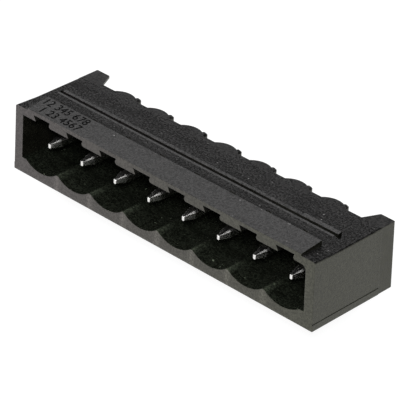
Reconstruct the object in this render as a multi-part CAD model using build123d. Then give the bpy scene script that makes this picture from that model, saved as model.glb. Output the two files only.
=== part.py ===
from build123d import *
import math
import os

# Eight-way right-angle header for a printed circuit board: one moulded housing, open at the
# front for the plug, and eight bent contact pins. Millimetres, +Z up. The origin lies on the
# board seat, in the middle of the row of solder tails. The plug goes in along +Y.

# Contact row
poles = 8
pitch = 5.0
pin_height = 4.0        # board seat to the contact axis
pin_size = 1.1          # across the flats of the square wire
pin_chamfer = 0.2       # along the wire's four long corners
pin_setback = 1.2       # front face to the contact tip
tip_length = 1.3        # tapered tip of the contact
tip_width = 0.32
tip_height = 0.54
tail_length = 3.2       # board seat to the end of the solder tail
tail_taper = 0.7
bend_radius = 0.8       # to the wire's axis
bend_clear = 0.05       # rear wall to the start of the bend

# Outer shape of the housing
end_margin = 4.2        # outer contact to the end of the base
body_height = 7.85      # board seat to the flat top
front_lip = 0.15        # the front wall stands this much above the flat top
wall_rear = 10.05       # front face to the rear wall's outer face
draft = 1.5             # degrees, on the ends and the ears
strip_height = 0.76     # base strip under the parting line
strip_proud = 0.05
edge_round = 0.25       # top edges of the two ends

# Walls
end_wall = 1.15
rear_wall = 1.55
roof = 0.73             # over the front of the hollow
rear_roof = 1.1         # over the rest of it
roof_step = 4.7         # front face to the change of roof
floor = 1.05            # thinnest place, under each contact
ridge_rise = 0.8        # ridge between two troughs, above the thinnest place
ridge_flat = 0.3
mouth_round = 0.6       # upper right corner of the hollow

# Ledge that the plug's latch hooks over, and the windows behind it
ledge_inset = 2.05      # end of the base to the ledge
ledge_depth = 3.04
ledge_front = 0.35      # above the flat top
ledge_rear = 0.65
window_left = 1.17      # contact axis to the window's left side
window_width = 0.72
window_length = 1.02

# Coding slots, one dovetail over each contact
slot_rise = 0.65        # above the front ceiling
slot_depth = 2.6
slot_left = 1.2         # contact axis to the upper left corner
slot_right = 1.29
undercut = 0.33         # left mouth, towards the contact axis
lean = 0.25             # right mouth, towards the contact axis
tooth_round = 0.28

# Long slit across the top
slit_front = 5.42       # front face to the slit
slit_width = 0.54
slit_depth = 0.6
slit_start = 1.2        # left end of the base to the slit
slit_stop = 2.45        # slit to the right end of the base
lip_run = 0.27          # low lip along the slit's front edge
lip_height = 0.05
bevel_depth = 0.08      # along the slit's rear edge
slit_bevel = 0.32
wide_bevel = 0.5        # beside the last contact
pocket_rear = 0.62      # slanted pocket at the slit's right end, behind the slit
pocket_front = 0.3      # in front of the slit
pocket_run = 0.85       # to the right

# Ears and ribs behind the rear wall
ear_reach = 2.25        # rear wall to the rear face of ears and ribs, at the base
ear_drop = 0.08         # the ears' top lies this much below the flat top
ear_inset = 0.02        # the ears' sides stand back this much from the ends
ear_wall = 1.15         # thickness of the ears below their slanted top plate
ear_plate = 0.3
ear_rear_width = 2.25   # at the base
ear_root_width = 3.3
ear_round = 0.3
rib_width = 0.85
rib_drop = 1.0          # the ribs end this much below the flat top
rib_chamfer = 0.22
bulge_width = 3.3       # of the full-height bulge before each rib
bulge_reach = 0.77


def arc_radius(chord, rise):
    """Radius of a circular arc from its chord and its height."""
    return (chord ** 2 / 4 + rise ** 2) / (2 * rise)


# Places that follow from the sizes above
row_setback = wall_rear + bend_clear + bend_radius
front = -row_setback
wall_y = front + wall_rear
length = (poles - 1) * pitch + 2 * end_margin
half = length / 2
ceiling = body_height - roof
rear_ceiling = body_height - rear_roof
ridge = floor + ridge_rise
trough_chord = pitch - ridge_flat
trough_radius = arc_radius(trough_chord, ridge_rise)
slope = math.tan(math.radians(draft))
over = 1.0              # how far a cutting body runs past the face it opens


def pole_x(index):
    return (index - (poles - 1) / 2) * pitch


def block(x_range, y_range, z_range):
    """Box between two limits on each axis."""
    size = [b - a for a, b in (x_range, y_range, z_range)]
    low = [a for a, b in (x_range, y_range, z_range)]
    return Pos(*low) * Box(*size, align=(Align.MIN, Align.MIN, Align.MIN))


def along_x(points, x_range):
    """Prism along X with an outline of (y, z) points."""
    outline = Plane.YZ.offset(x_range[0]) * make_face(Polyline(*points, close=True))
    return extrude(outline, amount=x_range[1] - x_range[0])


def along_y(outline, start, run):
    """Prism along +Y from an outline drawn in x and z."""
    return extrude(Plane.XZ.offset(-start) * outline, amount=-run)


def end_x(z, inset):
    """Half-length of the drafted ends at a height, less an inset."""
    return half - strip_proud - inset - (z - strip_height) * slope


def drafted_outline(low, high, inset):
    """Outline between the two drafted ends."""
    corners = [(-end_x(low, inset), low), (end_x(low, inset), low),
               (end_x(high, inset), high), (-end_x(high, inset), high)]
    return make_face(Polyline(*corners, close=True))


def rounded_outline(top):
    """Cross-section of the body with its two top corners rounded."""
    outline = drafted_outline(0, top, 0)
    return fillet(outline.vertices().sort_by(Axis.Y)[-2:], edge_round)


def make_body():
    """Block with a sloping front lip, drafted ends and the base strip."""
    flat = rounded_outline(body_height)
    slope_end = front + ledge_depth
    body = along_y(flat, slope_end, wall_rear - ledge_depth)
    face = Plane.XZ.offset(-front) * rounded_outline(body_height + front_lip)
    body += loft([face, Plane.XZ.offset(-slope_end) * flat], ruled=True)
    return body + block((-half, half), (front, wall_y), (0, strip_height))


def make_ears():
    """The two ends carried on behind the rear wall, each under a slanted plate."""
    outer = end_x(0, ear_inset)
    rear = wall_y + ear_reach
    root = half - ear_root_width
    height = body_height - ear_drop
    corners = [(outer, wall_y - over), (outer, rear), (half - ear_rear_width, rear),
               (root, wall_y), (root, wall_y - over)]
    plan = make_face(Polyline(*corners, close=True))
    corner = plan.vertices().sort_by_distance(Vector(outer, rear, 0))[0]
    ear = extrude(fillet(corner, ear_round), amount=height, taper=draft)
    ear -= block((root - over, outer - ear_wall), (wall_y, rear + over),
                 (-over, height - ear_plate))
    return [ear, mirror(ear, Plane.YZ)]


def make_rib():
    """Thin rib between two tails, running back from a full-height bulge."""
    nose = rib_width / 2
    reach = ear_reach - nose
    plan = Pos(0, (reach - over) / 2) * Rectangle(rib_width, reach + over)
    plan += Pos(0, reach) * Circle(nose)
    rib = extrude(plan, amount=body_height - rib_drop)
    rib = chamfer(rib.faces().sort_by(Axis.Z)[-1].edges(), rib_chamfer)
    radius = arc_radius(bulge_width, bulge_reach)
    bulge = Pos(0, bulge_reach - radius) * Circle(radius)
    return rib + extrude(bulge, amount=body_height)


def make_hollow():
    """Room for the plug: scalloped floor, drafted ends and a stepped roof."""
    run = wall_rear - rear_wall
    hollow = along_y(drafted_outline(ridge, rear_ceiling, end_wall), front, run)
    mouth = drafted_outline(ridge, ceiling, end_wall)
    corner = mouth.vertices().sort_by(Axis.Y)[-2:].sort_by(Axis.X)[-1]
    hollow += along_y(fillet(corner, mouth_round), front, roof_step)
    limits = along_y(drafted_outline(floor - over, ridge, end_wall), front, run)
    for index in range(poles):
        centre = floor + trough_radius
        trough = along_y(Pos(pole_x(index), centre) * Circle(trough_radius), front, run)
        hollow += trough & limits
    return hollow


def make_coding_slot():
    """Dovetail slot over a contact, with one sharp and one rounded tooth corner."""
    top = ceiling + slot_rise
    room = ceiling - over
    corners = [(-slot_left + undercut, room), (-slot_left + undercut, ceiling), (-slot_left, top),
               (slot_right, top), (slot_right - lean, ceiling), (slot_right + lean, ceiling),
               (slot_right + lean, room)]
    outline = make_face(Polyline(*corners, close=True))
    mouth = outline.vertices().sort_by_distance(Vector(slot_right - lean, ceiling, 0))[0]
    return along_y(fillet(mouth, tooth_round), front, slot_depth)


def make_ledge():
    """Wedge along the front of the top, rising to its latching edge."""
    rear = front + ledge_depth
    side = [(front, ceiling), (rear, ceiling),
            (rear, body_height + ledge_rear), (front, body_height + ledge_front)]
    return along_x(side, (-half + ledge_inset, half - ledge_inset))


def make_window():
    """Opening through the roof behind the ledge, left of a contact."""
    near = front + ledge_depth
    left = -window_left
    return block((left, left + window_width), (near, near + window_length),
                 (ceiling - over, body_height + over))


def make_lip():
    """Low wedge along the front edge of the slit."""
    near = front + slit_front
    foot = body_height - slit_depth / 2
    side = [(near - lip_run, foot), (near, foot), (near, body_height + lip_height),
            (near - lip_run, body_height)]
    return along_x(side, (-half + slit_start, half - slit_stop))


def make_slit():
    """Slit across the top with a bevelled rear edge and a slanted pocket at its right end."""
    near = front + slit_front
    far = near + slit_width
    left = -half + slit_start
    right = half - slit_stop
    heights = (body_height - slit_depth, body_height + over)
    slit = block((left, right), (near, far), heights)
    corners = [(right, near), (right, far + pocket_rear), (right + pocket_run, near),
               (right + pocket_run, near - pocket_front)]
    pocket = Plane.XY.offset(heights[0]) * make_face(Polyline(*corners, close=True))
    slit += extrude(pocket, amount=heights[1] - heights[0])
    root = body_height - bevel_depth
    for start, width in ((left, slit_bevel), (right - pitch, wide_bevel)):
        bevel = [(near, root), (far, root), (far + width, body_height), (near, body_height)]
        slit += along_x(bevel, (start, right))
    return slit


def wire_section(width, height):
    """Wire with its corners taken off in proportion to its width."""
    section = Rectangle(width, height)
    return chamfer(section.vertices(), pin_chamfer * width / pin_size)


def make_pin():
    """Contact with a tapered tip, a right-angle bend and a tapered solder tail."""
    tip = Plane.XZ.offset(-(front + pin_setback))
    shoulder = Plane.XZ.offset(-(front + pin_setback + tip_length))
    lift = Pos(0, pin_height)
    full = wire_section(pin_size, pin_size)
    pin = loft([tip * lift * wire_section(tip_width, tip_height), shoulder * lift * full])
    bend_start = -bend_radius
    pin += extrude(shoulder * lift * full, amount=-(bend_start - shoulder.origin.Y))
    bend_axis = Axis((0, bend_start, pin_height - bend_radius), (-1, 0, 0))
    pin += revolve(Plane.XZ.offset(-bend_start) * lift * full, bend_axis, 90)
    drop = Plane.XY.offset(pin_height - bend_radius)
    taper_top = Plane.XY.offset(-tail_length + tail_taper)
    end = Plane.XY.offset(-tail_length)
    pin += extrude(drop * full, amount=-(drop.origin.Z - taper_top.origin.Z))
    return pin + loft([taper_top * full, end * wire_section(tip_width, tip_height)])


def make_pin_hole():
    """Passage through the rear wall that grips a contact."""
    run = rear_wall + 2 * over
    return along_y(Pos(0, pin_height) * wire_section(pin_size, pin_size), wall_y - rear_wall - over, run)


def make_housing():
    housing = make_body() + make_ledge() + make_lip() + make_ears()
    rib = make_rib()
    for index in range(poles - 1):
        housing += Pos(pole_x(index) + pitch / 2, wall_y) * rib
    housing -= make_hollow()
    housing -= make_slit()
    for opening in (make_coding_slot(), make_window(), make_pin_hole()):
        for index in range(poles):
            housing -= Pos(pole_x(index)) * opening
    return housing


def save(shape, node):
    solids = shape.solids()
    whole = solids[0] if len(solids) == 1 else shape
    whole.label = node
    export_step(whole, f"parts/{node}.step")


os.makedirs("parts", exist_ok=True)
save(make_housing(), "housing")
contact = make_pin()
for number in range(poles):
    save(Pos(pole_x(number)) * contact, f"contact_pin_{number + 1}")
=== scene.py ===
import math

import bpy
from mathutils import Matrix, Vector


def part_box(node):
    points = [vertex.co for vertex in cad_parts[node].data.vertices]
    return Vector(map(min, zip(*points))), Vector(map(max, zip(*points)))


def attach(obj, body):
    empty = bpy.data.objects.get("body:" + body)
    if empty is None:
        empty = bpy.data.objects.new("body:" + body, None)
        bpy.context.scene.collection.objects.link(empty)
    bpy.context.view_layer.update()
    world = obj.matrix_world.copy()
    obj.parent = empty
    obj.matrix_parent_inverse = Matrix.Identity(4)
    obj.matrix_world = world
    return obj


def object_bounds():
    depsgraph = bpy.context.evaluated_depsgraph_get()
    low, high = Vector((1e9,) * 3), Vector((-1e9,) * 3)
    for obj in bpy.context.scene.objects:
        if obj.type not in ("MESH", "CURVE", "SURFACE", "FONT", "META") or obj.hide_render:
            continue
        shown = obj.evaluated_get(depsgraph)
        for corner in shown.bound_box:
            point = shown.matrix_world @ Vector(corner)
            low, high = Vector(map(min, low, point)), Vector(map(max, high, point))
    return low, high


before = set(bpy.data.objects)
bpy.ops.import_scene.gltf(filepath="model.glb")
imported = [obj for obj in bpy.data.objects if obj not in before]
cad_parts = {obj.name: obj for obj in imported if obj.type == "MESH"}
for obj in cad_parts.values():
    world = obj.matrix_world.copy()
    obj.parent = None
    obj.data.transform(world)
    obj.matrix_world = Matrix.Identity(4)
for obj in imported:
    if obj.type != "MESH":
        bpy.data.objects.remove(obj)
cad_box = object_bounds()

MM = 0.001
HOUSING = "housing"
CONTACTS = sorted(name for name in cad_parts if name.startswith("contact_pin"))
FRONT = cad_box[0].y / MM               # millimetres, the open front face
PITCH = 5.0                             # millimetres, contact to contact

# Camera, fitted to the photograph
IMAGE_SIDE = 400                        # pixels, the photograph's width and height
AZIMUTH = 42.719                        # degrees
ELEVATION = 31.044
ROLL = 2.574
DISTANCE = 273.76 * MM
FOCAL_PIXELS = 2624.6
SENSOR = 36.0                           # millimetres
AIM = Vector((-0.4, -4.9, 4.25)) * MM
SHIFT_RIGHT = -0.493 * MM
SHIFT_UP = 1.102 * MM

# Floor
FLOOR_SIDE = 20.0                       # metres
FLOOR_GLOW = 0.93                       # white that the camera and reflections see
FLOOR_SHADE = 0.2                       # grey that takes the shadow

# Surroundings: a white backdrop, a dark belt and a round cap of light at the upper left
BACKDROP_GLOW = 1.0
BELT_GLOW = 0.04
RIM_GLOW = 1.14                         # outer part of the cap
MIDDLE_GLOW = 0.28
BACKDROP_FADE = (0.08, 0.2)             # sines of the elevations where the belt begins and is full
CAP_AZIMUTH = -90                       # degrees
CAP_ELEVATION = 67
RIM_FADE = (43, 36)                     # degrees from the cap's centre, from dark to bright
MIDDLE_FADE = (26, 14)                  # from bright to dim

# Moulding: tints
WARM_TINT = (1.0, 0.9, 0.88, 1.0)       # upright faces at the left
COOL_TINT = (0.84, 0.84, 0.66, 1.0)     # upright faces at the right
SHADED_END_TINT = (0.55, 0.55, 0.41, 1.0)      # end faces, darker than the rest: painted shade, with an olive tint
PLAIN_TINT = (0.96, 0.94, 0.94, 1.0)    # level faces on top
DEEP_TINT = (0.85, 1.0, 0.72, 1.0)      # level faces low down, such as the mouth's floor

# Moulding: noises, each with its scale per millimetre, detail and roughness
GRAIN = (7.0, 2.0, 0.6)
CLOUDS = (0.6, 5.0, 0.65)
SPECKS = (4.2, 2.0, 0.6)
PITS = (5.5, 1.0, 0.5)
DUST = (2.3, 0.0, 0.5)
CLOUD_STRETCH = (0.35, 1.0, 1.0)        # clouds are longest along the row

# Moulding: noise values between which each mark comes or goes
SPECK_RANGE = (0.4, 0.6)
PIT_RANGE = (0.2, 0.3)
DUST_RANGE = (0.84, 0.86)
SHADE_RANGE = (0.3, 0.7)
GLOSS_RANGE = (0.38, 0.62)
SHADE_BAND_RANGE = (0.35, 0.6)

# Moulding: values of the surface normal over which a face comes to count as such
FACING_SIDE = (0.6, 0.9)
FACING_LEVEL = (0.3, 0.8)
FACING_FRONT = (-0.08, -0.02)

# Moulding: places in millimetres
DRIFT_REACH = 20.0                      # middle of the row to the full warm or cool tint
DEEP_HEIGHT = (6.0, 6.6)                # board seat to where the deep tint fades and ends
SHADE_BAND_SETBACK = 4.0                      # front face to the middle of the band of painted shade behind the ledge
SHADE_BAND_HALF = (0.1, 0.5)                  # middle of the band to where it fades and ends
SHEEN_HALF = 0.6                        # ridge's crest to the end of its painted sheen
SHEEN_SETBACK = (0.1, 2.9)              # front face to where the painted sheen fades and ends
SHEEN_HEIGHT = (2.2, 2.6)               # just over the ridges' crests
SHEEN_REACH = (16.0, 18.0)              # middle of the row to just past the outermost ridge
REAR_SETBACK = (8.5, 10.3)              # front face to where the dull rear begins and is full

# Moulding: strengths
SHADE = (0.016, 0.028)                  # darkest and lightest cloud
PIT_SHADE = 0.45                        # share of the shade left in a pit
SHEEN_LIGHTNESS = 0.09                      # painted sheen added on a ridge's crest
DUST_SHADE = 0.3                        # added by a speck of dust
SPECK_DULL = (0.35, 0.65)               # share of the tint lost on upright and on level faces
SHADE_BAND_LOSS = 0.7                         # share of the tint lost to painted shade in the band behind the ledge
SHADE_BAND_LEAST = 0.3                        # share of the painted shade left where it is thinnest
CLOUD_ROUGH = 0.09                      # roughness added by the dullest cloud
SPECK_ROUGH = (0.27, 0.13)              # roughness between the specks and on them
REAR_ROUGH = 0.13                       # roughness added at the rear
GRAIN_STRENGTH = (0.6, 0.25)            # in general and on faces towards the front
GRAIN_DEPTH = 0.03 * MM
EDGE_RADIUS = 0.07 * MM

# Tin plate on the contacts
TIN = (0.78, 0.77, 0.75, 1.0)
STREAKS = (9.0, 3.0, 0.6)               # scale per millimetre, detail and roughness
STREAK_STRETCH = (1.0, 0.25, 0.25)      # streaks run along the wire
STREAK_RANGE = (0.3, 0.7)
STREAK_ROUGH = (0.19, 0.23)
STREAK_STRENGTH = 0.1
STREAK_DEPTH = 0.01 * MM
CONTACT_RADIUS = 0.05 * MM
SHARP_ANGLE = 25                        # degrees, the least turn of an edge that is rounded
WELD_REACH = 0.001 * MM

# Digits on the ledge
LEDGE_DEPTH = 3.04 * MM
LEDGE_CLIMB = 0.3 * MM                  # front edge to rear edge
LEDGE_SLOPE = LEDGE_CLIMB / LEDGE_DEPTH
DIGIT_SIZE = 1.5 * MM
DIGIT_RELIEF = 0.02 * MM
DIGIT_BLACK = (0.003, 0.003, 0.003, 1.0)
DIGIT_GRAIN = (12.0, 2.0, 0.5)          # scale per millimetre, detail and roughness
DIGIT_RANGE = (0.3, 0.7)
DIGIT_ROUGH = (0.5, 0.7)


def direction(azimuth, elevation):
    """Unit vector from the object towards a place on the sky; azimuth 0 is the front."""
    bearing = math.radians(azimuth)
    rise = math.radians(elevation)
    return Vector((math.sin(bearing) * math.cos(rise), -math.cos(bearing) * math.cos(rise),
                   math.sin(rise)))


def make_camera():
    """Camera at the photograph's viewing angle."""
    back = direction(AZIMUTH, ELEVATION)
    level = Vector((math.cos(math.radians(AZIMUTH)), math.sin(math.radians(AZIMUTH)), 0))
    upright = back.cross(level)
    roll = math.radians(ROLL)
    right = math.cos(roll) * level + math.sin(roll) * upright
    up = math.cos(roll) * upright - math.sin(roll) * level
    data = bpy.data.cameras.new("camera")
    data.sensor_width = SENSOR
    data.lens = SENSOR * FOCAL_PIXELS / IMAGE_SIDE
    data.clip_start = DISTANCE / 10
    data.clip_end = FLOOR_SIDE
    camera = bpy.data.objects.new("camera", data)
    turn = Matrix((right, up, back)).transposed().to_4x4()
    place = AIM - SHIFT_RIGHT * right - SHIFT_UP * up + DISTANCE * back
    camera.matrix_world = Matrix.Translation(place) @ turn
    bpy.context.scene.collection.objects.link(camera)
    bpy.context.scene.camera = camera


class Nodes:
    """Short way to add and join shader nodes in one tree."""

    def __init__(self, tree):
        self.tree = tree
        tree.nodes.clear()

    def add(self, kind, values=None, **settings):
        """New node whose inputs are set to values, or linked where a value is an output."""
        node = self.tree.nodes.new(kind)
        for name, value in settings.items():
            setattr(node, name, value)
        for name, value in (values or {}).items():
            if isinstance(value, bpy.types.NodeSocket):
                self.tree.links.new(value, node.inputs[name])
            else:
                node.inputs[name].default_value = value
        return node

    def maths(self, operation, first, second=0.0):
        node = self.add("ShaderNodeMath", {0: first, 1: second}, operation=operation)
        return node.outputs[0]

    def scaled(self, vector, factor):
        node = self.add("ShaderNodeVectorMath", {0: vector, "Scale": factor}, operation="SCALE")
        return node.outputs["Vector"]

    def stretched(self, vector, factors):
        node = self.add("ShaderNodeVectorMath", {0: vector, 1: factors}, operation="MULTIPLY")
        return node.outputs["Vector"]

    def parts(self, vector):
        return self.add("ShaderNodeSeparateXYZ", {"Vector": vector}).outputs

    def spread(self, value, low, high, start, end):
        """Value between low and high mapped to between start and end."""
        node = self.add("ShaderNodeMapRange", {"Value": value, "From Min": low, "From Max": high,
                                               "To Min": start, "To Max": end})
        return node.outputs["Result"]

    def noise(self, vector, scale, detail, roughness):
        node = self.add("ShaderNodeTexNoise", {"Vector": vector, "Scale": scale,
                                               "Detail": detail, "Roughness": roughness})
        return node.outputs["Fac"]

    def colour_blend(self, factor, first, second):
        node = self.add("ShaderNodeMixRGB", {"Fac": factor, "Color1": first, "Color2": second})
        return node.outputs["Color"]


def new_material(name):
    """Material with an empty node tree."""
    material = bpy.data.materials.new(name)
    material.use_nodes = True
    return material, Nodes(material.node_tree)


def millimetres(nodes):
    """Place on the object in millimetres."""
    return nodes.scaled(nodes.add("ShaderNodeTexCoord").outputs["Object"], 1 / MM)


def facing_masks(nodes):
    """How much a face looks sideways, lies level, and looks to the front."""
    facing = nodes.parts(nodes.add("ShaderNodeTexCoord").outputs["Normal"])
    sideways = nodes.spread(nodes.maths("ABSOLUTE", facing["X"]), *FACING_SIDE, 0.0, 1.0)
    level = nodes.spread(nodes.maths("ABSOLUTE", facing["Z"]), *FACING_LEVEL, 0.0, 1.0)
    forward = nodes.spread(facing["Y"], *FACING_FRONT, 1.0, 0.0)
    return sideways, level, forward


def moulding_tint(nodes, along, sideways, level):
    """Warm to cool along the row, painted shade on the end faces, plain on top and greener low down.
    """
    drift = nodes.spread(along["X"], -DRIFT_REACH, DRIFT_REACH, 0.0, 1.0)
    upright = nodes.colour_blend(drift, WARM_TINT, COOL_TINT)
    # painted shade: the end faces take a darker tint
    upright = nodes.colour_blend(sideways, upright, SHADED_END_TINT)
    deep = nodes.spread(along["Z"], *DEEP_HEIGHT, 1.0, 0.0)
    return nodes.colour_blend(level, upright, nodes.colour_blend(deep, PLAIN_TINT, DEEP_TINT))


def specks_and_painted_shade(nodes, along, clouds, specks, level):
    """Share of the tint that is lost on the specks and to painted shade in the band behind the ledge.
    """
    speckled = nodes.maths("MULTIPLY", specks, nodes.spread(level, 0.0, 1.0, *SPECK_DULL))
    # painted shade in the recess just behind the ledge, on level faces only
    beside = nodes.maths("ABSOLUTE", nodes.maths("SUBTRACT", along["Y"], FRONT + SHADE_BAND_SETBACK))
    painted_shade = nodes.maths("MULTIPLY", nodes.spread(beside, *SHADE_BAND_HALF, SHADE_BAND_LOSS, 0.0),
                        nodes.spread(clouds, *SHADE_BAND_RANGE, SHADE_BAND_LEAST, 1.0))
    return nodes.maths("MAXIMUM", speckled, nodes.maths("MULTIPLY", painted_shade, level))


def painted_crest_sheen(nodes, along):
    """Painted sheen on the crests of the ridges on the mouth's floor, strongest at the front."""
    beside = nodes.maths("PINGPONG", along["X"], PITCH / 2)
    crest_sheen = nodes.maths("MULTIPLY", nodes.spread(beside, 0.0, SHEEN_HALF, 1.0, 0.0),
                         nodes.spread(along["Y"], FRONT + SHEEN_SETBACK[0],
                                      FRONT + SHEEN_SETBACK[1], 1.0, 0.0))
    crest_sheen = nodes.maths("MULTIPLY", crest_sheen, nodes.spread(along["Z"], *SHEEN_HEIGHT, 1.0, 0.0))
    reach = nodes.maths("ABSOLUTE", along["X"])
    return nodes.maths("MULTIPLY", crest_sheen, nodes.spread(reach, *SHEEN_REACH, 1.0, 0.0))


def moulding_roughness(nodes, along, clouds, specks):
    """Glossy specks in a duller ground, with cloudy gloss and a dull rear."""
    rough = nodes.maths("ADD", nodes.spread(clouds, *GLOSS_RANGE, 0.0, CLOUD_ROUGH),
                        nodes.spread(specks, 0.0, 1.0, *SPECK_ROUGH))
    rear = nodes.spread(along["Y"], FRONT + REAR_SETBACK[0], FRONT + REAR_SETBACK[1],
                        0.0, REAR_ROUGH)
    return nodes.maths("ADD", rough, rear)


def make_moulding():
    """Black moulding compound with fine grain, specks, pits and dust, painted sheen on the ridges'
    crests and painted shade behind the ledge and on the end faces.
    """
    material, nodes = new_material("moulding")
    place = millimetres(nodes)
    along = nodes.parts(place)
    sideways, level, forward = facing_masks(nodes)
    clouds = nodes.noise(nodes.stretched(place, CLOUD_STRETCH), *CLOUDS)
    specks = nodes.spread(nodes.noise(place, *SPECKS), *SPECK_RANGE, 1.0, 0.0)
    pits = nodes.spread(nodes.noise(place, *PITS), *PIT_RANGE, PIT_SHADE, 1.0)
    dust = nodes.spread(nodes.noise(place, *DUST), *DUST_RANGE, 0.0, DUST_SHADE)

    # tint lost on the specks and to the painted shade behind the ledge
    speck_and_shade_loss = specks_and_painted_shade(nodes, along, clouds, specks, level)
    tint = moulding_tint(nodes, along, sideways, level)
    tint = nodes.scaled(tint, nodes.maths("SUBTRACT", 1.0, speck_and_shade_loss))
    shade = nodes.maths("MULTIPLY", nodes.spread(clouds, *SHADE_RANGE, *SHADE), pits)
    # painted sheen on the ridges' crests, lightest near the opening
    crest_sheen = nodes.maths("MULTIPLY", painted_crest_sheen(nodes, along), SHEEN_LIGHTNESS)
    shade = nodes.maths("ADD", shade, crest_sheen)
    shade = nodes.maths("ADD", shade, nodes.maths("MULTIPLY", dust, level))

    rough = moulding_roughness(nodes, along, clouds, specks)
    soft_edge = nodes.add("ShaderNodeBevel", {"Radius": EDGE_RADIUS}, samples=4).outputs["Normal"]
    relief = nodes.spread(forward, 0.0, 1.0, *GRAIN_STRENGTH)
    bump = nodes.add("ShaderNodeBump", {"Height": nodes.noise(place, *GRAIN), "Strength": relief,
                                        "Distance": GRAIN_DEPTH,
                                        "Normal": soft_edge}).outputs["Normal"]
    shader = nodes.add("ShaderNodeBsdfPrincipled", {"Base Color": nodes.scaled(tint, shade),
                                                    "Roughness": rough,
                                                    "Specular IOR Level": 1.0,
                                                    "Specular Tint": tint, "Normal": bump})
    nodes.add("ShaderNodeOutputMaterial", {"Surface": shader.outputs[0]})
    return material


def make_tin():
    """Bright tin plate on the contacts, drawn lengthwise."""
    material, nodes = new_material("tin_plate")
    streaks = nodes.noise(nodes.stretched(millimetres(nodes), STREAK_STRETCH), *STREAKS)
    lengthwise = nodes.add("ShaderNodeCombineXYZ", {"Y": 1.0}).outputs["Vector"]
    rough = nodes.spread(streaks, *STREAK_RANGE, *STREAK_ROUGH)
    bump = nodes.add("ShaderNodeBump", {"Height": streaks, "Strength": STREAK_STRENGTH,
                                        "Distance": STREAK_DEPTH}).outputs["Normal"]
    shader = nodes.add("ShaderNodeBsdfPrincipled", {"Base Color": TIN, "Metallic": 1.0,
                                                    "Roughness": rough, "Anisotropic": 0.95,
                                                    "Tangent": lengthwise, "Normal": bump})
    nodes.add("ShaderNodeOutputMaterial", {"Surface": shader.outputs[0]})
    return material


def make_digit_finish():
    """Duller moulding on the small digits."""
    material, nodes = new_material("digit_finish")
    grain = nodes.noise(millimetres(nodes), *DIGIT_GRAIN)
    rough = nodes.spread(grain, *DIGIT_RANGE, *DIGIT_ROUGH)
    shader = nodes.add("ShaderNodeBsdfPrincipled", {"Base Color": DIGIT_BLACK,
                                                    "Roughness": rough,
                                                    "Specular IOR Level": 0.05})
    nodes.add("ShaderNodeOutputMaterial", {"Surface": shader.outputs[0]})
    return material


def round_edges(thing, width):
    """Small real radius on a CAD node's sharp edges."""
    weld = thing.modifiers.new("weld", "WELD")
    weld.merge_threshold = WELD_REACH
    bevel = thing.modifiers.new("edges", "BEVEL")
    bevel.width = width
    bevel.segments = 3
    bevel.limit_method = "ANGLE"
    bevel.angle_limit = math.radians(SHARP_ANGLE)
    bevel.use_clamp_overlap = True


def make_digits(text, left, setback, material):
    """Row of raised digits on the sloping top of the ledge."""
    low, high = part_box(HOUSING)
    curve = bpy.data.curves.new("digits", "FONT")
    curve.body = text
    curve.size = DIGIT_SIZE
    curve.extrude = DIGIT_RELIEF
    curve.materials.append(material)
    piece = bpy.data.objects.new("digits_" + text.split()[0], curve)
    piece.location = (left, low.y + setback, high.z - (LEDGE_DEPTH - setback) * LEDGE_SLOPE)
    piece.rotation_euler = (math.atan(LEDGE_SLOPE), 0, 0)
    bpy.context.scene.collection.objects.link(piece)
    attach(piece, "root")


def dress(node, material):
    """Puts one material on a CAD node."""
    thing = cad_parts[node]
    thing.data.materials.clear()
    thing.data.materials.append(material)


def make_floor():
    """Pale floor that shows white and keeps a faint shadow."""
    half = FLOOR_SIDE / 2
    level = cad_box[0].z
    mesh = bpy.data.meshes.new("floor")
    corners = [(-half, -half, level), (half, -half, level), (half, half, level), (-half, half, level)]
    mesh.from_pydata(corners, [], [(0, 1, 2, 3)])
    floor = bpy.data.objects.new("floor", mesh)
    bpy.context.scene.collection.objects.link(floor)
    material, nodes = new_material("floor")
    path = nodes.add("ShaderNodeLightPath").outputs
    seen = nodes.maths("MAXIMUM", path["Is Camera Ray"], path["Is Glossy Ray"])
    seen = nodes.maths("MAXIMUM", seen, path["Is Transmission Ray"])
    glow = nodes.add("ShaderNodeEmission", {"Strength": nodes.maths("MULTIPLY", seen, FLOOR_GLOW)})
    matt = nodes.add("ShaderNodeBsdfDiffuse", {"Color": (FLOOR_SHADE,) * 3 + (1.0,)})
    both = nodes.add("ShaderNodeAddShader", {0: glow.outputs[0], 1: matt.outputs[0]})
    nodes.add("ShaderNodeOutputMaterial", {"Surface": both.outputs[0]})
    mesh.materials.append(material)


def cosines(angles):
    """Cosine of each angle in degrees."""
    return [math.cos(math.radians(angle)) for angle in angles]


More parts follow.
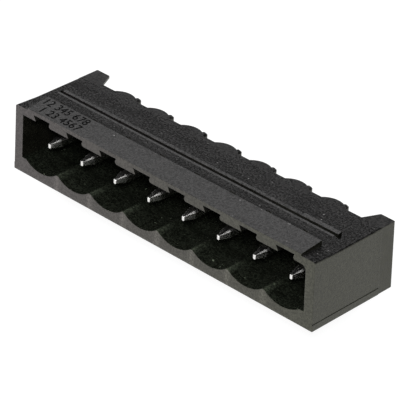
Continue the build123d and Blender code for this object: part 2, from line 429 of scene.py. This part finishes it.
def make_world():
    """Studio surroundings: white at the horizon, dark above, a wide soft light at the upper left."""
    world = bpy.data.worlds.new("studio")
    bpy.context.scene.world = world
    world.use_nodes = True
    nodes = Nodes(world.node_tree)
    place = nodes.add("ShaderNodeTexCoord").outputs["Generated"]
    backdrop = nodes.spread(nodes.parts(place)["Z"], *BACKDROP_FADE, BACKDROP_GLOW, BELT_GLOW)
    centre = tuple(direction(CAP_AZIMUTH, CAP_ELEVATION))
    nearness = nodes.add("ShaderNodeVectorMath", {0: place, 1: centre},
                         operation="DOT_PRODUCT").outputs["Value"]
    rim = nodes.spread(nearness, *cosines(RIM_FADE), 0.0, RIM_GLOW - BELT_GLOW)
    middle = nodes.spread(nearness, *cosines(MIDDLE_FADE), 0.0, RIM_GLOW - MIDDLE_GLOW)
    level = nodes.maths("SUBTRACT", nodes.maths("ADD", backdrop, rim), middle)
    sky = nodes.add("ShaderNodeBackground", {"Color": (1.0, 1.0, 1.0, 1.0), "Strength": level})
    nodes.add("ShaderNodeOutputWorld", {"Surface": sky.outputs[0]})


def softbox(name, azimuth, elevation, distance, side, radiance):
    """Square area light that faces the object."""
    data = bpy.data.lights.new(name, "AREA")
    data.size = side
    data.energy = math.pi * side ** 2 * radiance
    light = bpy.data.objects.new(name, data)
    towards = direction(azimuth, elevation)
    light.location = AIM + distance * towards
    light.rotation_euler = towards.to_track_quat("Z", "Y").to_euler()
    bpy.context.scene.collection.objects.link(light)


make_camera()
bpy.context.scene.view_settings.view_transform = "Standard"
make_floor()
make_world()
softbox("key", azimuth=-60, elevation=30, distance=0.5, side=0.22, radiance=3.0)
softbox("fill", azimuth=42, elevation=37, distance=0.5, side=0.08, radiance=58.0)

dress(HOUSING, make_moulding())
tin = make_tin()
for contact in CONTACTS:
    dress(contact, tin)
    round_edges(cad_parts[contact], CONTACT_RADIUS)
digit_finish = make_digit_finish()
make_digits("12 345 678", left=-19.45 * MM, setback=1.75 * MM, material=digit_finish)
make_digits("1 23 4567", left=-18.6 * MM, setback=0.4 * MM, material=digit_finish)
